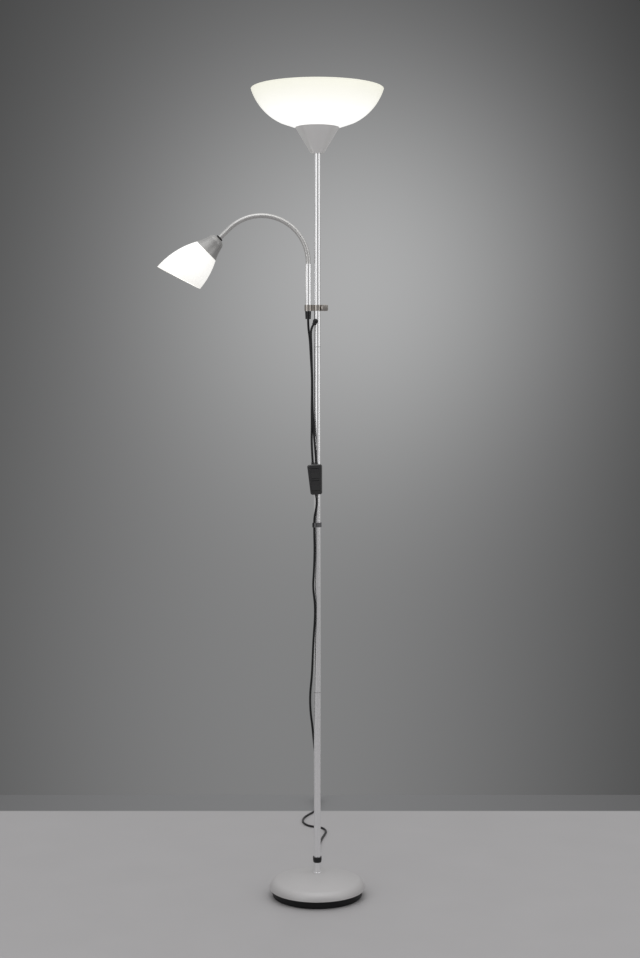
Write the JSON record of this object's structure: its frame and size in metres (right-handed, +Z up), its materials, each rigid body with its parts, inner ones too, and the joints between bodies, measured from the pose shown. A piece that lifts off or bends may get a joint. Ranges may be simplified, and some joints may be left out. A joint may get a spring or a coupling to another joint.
{
  "type": "floor lamp",
  "caption": "Torchiere floor lamp: round weighted foot, slim jointed pole, wide opal bowl on a metal cone, and a clamped side arm whose flexible neck carries a slanted opal reading shade.",
  "frame": {"origin": "where the axis of the pole meets the floor, at the middle of the foot's underside", "axes": "+Z up along the pole, +X to the right and +Y away from someone in front of the lamp, the reading arm leaves the pole towards -X"},
  "size_m": [0.5057, 0.9795, 1.8],
  "materials": {
    "foam": "matt",
    "tray": "matt black",
    "iron": "rough cast",
    "foot_metal": "satin silver",
    "steel": "zinc plated",
    "satin_chrome": "satin chrome plated",
    "satin_metal": "satin silver",
    "nickel": "polished nickel plated",
    "black_plastic": "semi-gloss black",
    "grey_plastic": "matt dark grey",
    "flex_metal": "satin nickel, finely ribbed",
    "opal": "opal white, translucent",
    "bulb": "opal white glass",
    "switch_plastic": "gloss black",
    "pin_metal": "bright nickel",
    "cord": "semi-matt black"
  },
  "bodies": {
    "root": {"foot_pads": "foam", "foot_nut_cover": "foam", "foot_tray": "tray", "foot_weight": "iron", "foot_cover": "foot_metal", "foot_washer": "steel", "foot_nut": "steel", "foot_rod": "steel", "pole_stub": "satin_chrome", "pole_collar": "black_plastic", "pole_tube_1": "satin_chrome", "pole_tube_2": "satin_chrome", "pole_tube_3": "satin_chrome", "pole_tube_4": "satin_chrome", "pole_couplers": "steel", "pole_inserts": "steel", "pole_grommet": "black_plastic", "pole_wire": "cord", "cord_clip": "grey_plastic", "uplight_cup": "satin_metal", "uplight_nut": "steel", "uplight_nipple": "steel", "uplight_holder": "black_plastic", "uplight_bowl": "opal", "uplight_shade_ring": "black_plastic", "uplight_bulb": "bulb", "switch_front": "switch_plastic", "switch_back": "switch_plastic", "switch_screws": "steel", "switch_reliefs": "switch_plastic", "plug_body": "switch_plastic", "plug_pins": "pin_metal", "cord_arm": "cord", "cord_pole": "cord", "cord_mains": "cord"},
    "clamp": {"clamp_strap": "nickel", "clamp_bolt": "nickel"},
    "knob": {"clamp_knob": "nickel"},
    "arm": {"arm_sleeve": "satin_chrome", "arm_gland": "black_plastic", "neck_root": "flex_metal"},
    "link_1": {"neck_link_1": "flex_metal"},
    "link_2": {"neck_link_2": "flex_metal"},
    "link_3": {"neck_link_3": "flex_metal"},
    "link_4": {"neck_link_4": "flex_metal"},
    "link_5": {"neck_link_5": "flex_metal"},
    "head": {"neck_link_6": "flex_metal", "head_collar": "black_plastic", "head_cap": "satin_metal", "head_socket": "black_plastic", "head_nipple": "satin_metal", "head_shade": "opal", "head_shade_ring": "black_plastic", "head_bulb": "bulb"},
    "rocker_uplight": {"rocker_uplight": "switch_plastic"},
    "rocker_reading": {"rocker_reading": "switch_plastic"}
  },
  "joints": [
    {"name": "clamp_height", "type": "slide", "parent": "root", "child": "clamp", "axis": [0, 0, 1], "range_m": [0, 0.04]},
    {"name": "knob_turn", "type": "hinge", "parent": "clamp", "child": "knob", "pos_m": [0.0166, -0.0065, 1.311], "axis": [0, 1, 0], "range_deg": [-540, 0]},
    {"name": "arm_turn", "type": "hinge", "parent": "clamp", "child": "arm", "pos_m": [-0.0205, 0, 1.311], "axis": [0, 0, 1], "range_deg": [-120, 120]},
    {"name": "flex_1", "type": "hinge", "parent": "arm", "child": "link_1", "pos_m": [-0.02247, 0, 1.43317], "axis": [0, -1, 0], "range_deg": [-10, 6.5]},
    {"name": "flex_2", "type": "hinge", "parent": "link_1", "child": "link_2", "pos_m": [-0.03783, 0, 1.47048], "axis": [0, -1, 0], "range_deg": [-10, 6.5]},
    {"name": "flex_3", "type": "hinge", "parent": "link_2", "child": "link_3", "pos_m": [-0.06622, 0, 1.49914], "axis": [0, -1, 0], "range_deg": [-10, 6.5]},
    {"name": "flex_4", "type": "hinge", "parent": "link_3", "child": "link_4", "pos_m": [-0.10338, 0, 1.51483], "axis": [0, -1, 0], "range_deg": [-10, 6.5]},
    {"name": "flex_5", "type": "hinge", "parent": "link_4", "child": "link_5", "pos_m": [-0.14372, 0, 1.51521], "axis": [0, -1, 0], "range_deg": [-10, 6.5]},
    {"name": "flex_6", "type": "hinge", "parent": "link_5", "child": "head", "pos_m": [-0.18117, 0, 1.50021], "axis": [0, -1, 0], "range_deg": [-10, 6.5]},
    {"name": "switch_uplight", "type": "hinge", "parent": "root", "child": "rocker_uplight", "pos_m": [-0.00485, -0.0252, 0.94287], "axis": [0.998, 0, 0.0628], "range_deg": [-12, 0]},
    {"name": "switch_reading", "type": "hinge", "parent": "root", "child": "rocker_reading", "pos_m": [-0.00315, -0.0252, 0.91593], "axis": [0.998, 0, 0.0628], "range_deg": [-12, 0]}
  ],
  "couplings": [
    {"joint": "flex_2", "follows": "flex_1", "ratio": 1},
    {"joint": "flex_3", "follows": "flex_1", "ratio": 1},
    {"joint": "flex_4", "follows": "flex_1", "ratio": 1},
    {"joint": "flex_5", "follows": "flex_1", "ratio": 1},
    {"joint": "flex_6", "follows": "flex_1", "ratio": 1}
  ]
}
